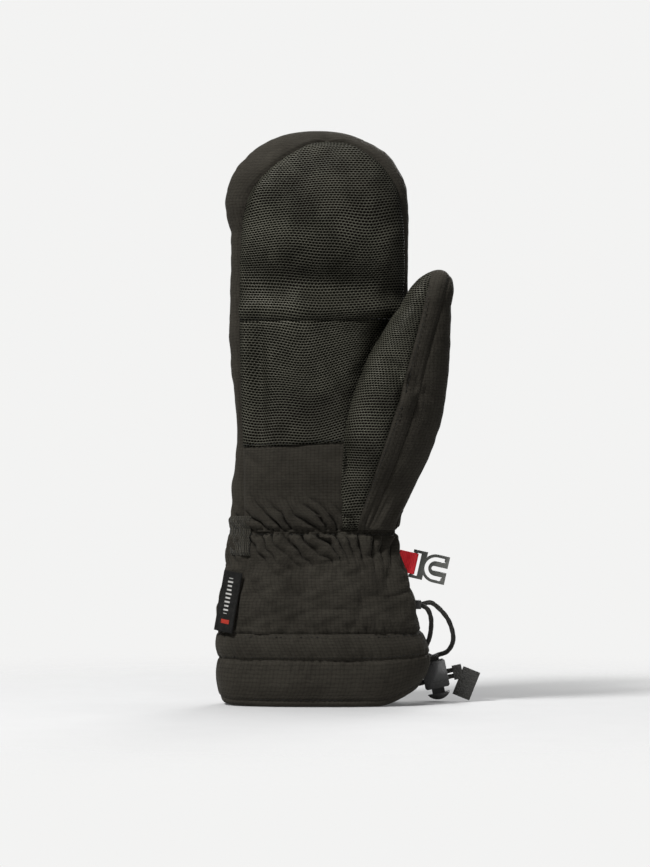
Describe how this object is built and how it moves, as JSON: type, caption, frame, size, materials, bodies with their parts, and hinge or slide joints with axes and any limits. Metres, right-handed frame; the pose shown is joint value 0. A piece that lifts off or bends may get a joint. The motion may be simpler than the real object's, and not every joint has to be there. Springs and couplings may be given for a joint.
{
  "type": "ski mitten",
  "caption": "Right-hand insulated ski mitten with a grip palm, separate thumb, elastic wrist, flared gauntlet cuff, glove clip and drawcord with cord lock.",
  "frame": {"origin": "middle of the hand opening, on the hem's plane", "axes": "+Z from the hem to the fingertips, palm towards -Y, thumb on +X"},
  "size_m": [0.156, 0.0714, 0.3348],
  "materials": {
    "grip": "matte, embossed with fine staggered dashes",
    "shell": "matte woven nylon",
    "membrane": "thin waterproof film",
    "batting": "lofted polyester fibre",
    "lining": "brushed fleece",
    "cuff_lining": "smooth taffeta",
    "elastic": "ribbed elastic",
    "rib": "ribbed knit",
    "label": "woven, with plain pale stripes",
    "ribbon": "satin ribbon",
    "clip": "fine satin moulding",
    "cord": "braided elastic cord",
    "webbing": "woven tape",
    "lock": "gloss moulding",
    "spring": "spring wire",
    "pull": "moulded, fine pebble texture"
  },
  "bodies": {
    "cuff": {"wrist_elastic": "elastic", "wrist_side_patch": "rib", "cuff_front_panel": "shell", "cuff_back_panel": "shell", "cuff_padding": "batting", "cuff_lining": "cuff_lining", "tunnel_band": "shell", "hem_band": "shell", "side_label": "label", "clip_loop": "ribbon", "cord_keeper": "lock", "drawcord": "cord", "lock_tab": "webbing", "cord_lock_body": "lock", "cord_lock_spring": "spring"},
    "hand": {"palm_heel_panel": "shell", "palm_grip_lower": "grip", "back_panel": "shell", "waterproof_insert": "membrane", "hand_insulation": "batting", "hand_lining": "lining"},
    "fingers": {"palm_grip_upper": "grip", "finger_insulation": "batting"},
    "thumb": {"thumb_grip_panel": "grip", "thumb_side_panel": "shell", "thumb_back_panel": "shell", "thumb_insulation": "batting", "thumb_lining": "lining"},
    "clip": {"glove_clip": "clip"},
    "button": {"cord_lock_plunger": "lock"},
    "pull": {"cord_tail": "cord", "pull_tab": "pull"}
  },
  "joints": [
    {"name": "wrist_flex", "type": "hinge", "parent": "cuff", "child": "hand", "pos_m": [0, 0, 0.102], "axis": [1, 0, 0], "range_deg": [-25, 30], "stiffness_Nm_per_rad": 1.5, "deforming": ["wrist_elastic", "wrist_side_patch", "cuff_front_panel", "cuff_back_panel", "cuff_lining", "palm_heel_panel", "back_panel", "waterproof_insert", "hand_lining"]},
    {"name": "finger_curl", "type": "hinge", "parent": "hand", "child": "fingers", "pos_m": [0, 0, 0.223], "axis": [1, 0, 0], "range_deg": [0, 25], "stiffness_Nm_per_rad": 0.8, "deforming": ["palm_grip_upper", "palm_grip_lower"]},
    {"name": "thumb_fold", "type": "hinge", "parent": "hand", "child": "thumb", "pos_m": [0.05, -0.008, 0.238], "axis": [-0.28, 0, -0.96], "range_deg": [0, 25], "stiffness_Nm_per_rad": 0.4, "deforming": ["thumb_grip_panel", "thumb_side_panel", "thumb_back_panel", "thumb_lining"]},
    {"name": "clip_swing", "type": "hinge", "parent": "cuff", "child": "clip", "pos_m": [0.05412, 0, 0.082], "axis": [0.225, 0, 0.9744], "range_deg": [-70, 70], "stiffness_Nm_per_rad": 0.001},
    {"name": "button_press", "type": "slide", "parent": "cuff", "child": "button", "axis": [-0.2079, 0, 0.9781], "range_m": [0, 0.003], "stiffness_N_per_m": 400, "deforming": ["cord_lock_spring"]},
    {"name": "cord_pull", "type": "slide", "parent": "cuff", "child": "pull", "axis": [0.9781, 0, 0.2079], "range_m": [0, 0.012], "stiffness_N_per_m": 60, "deforming": ["drawcord"]}
  ]
}
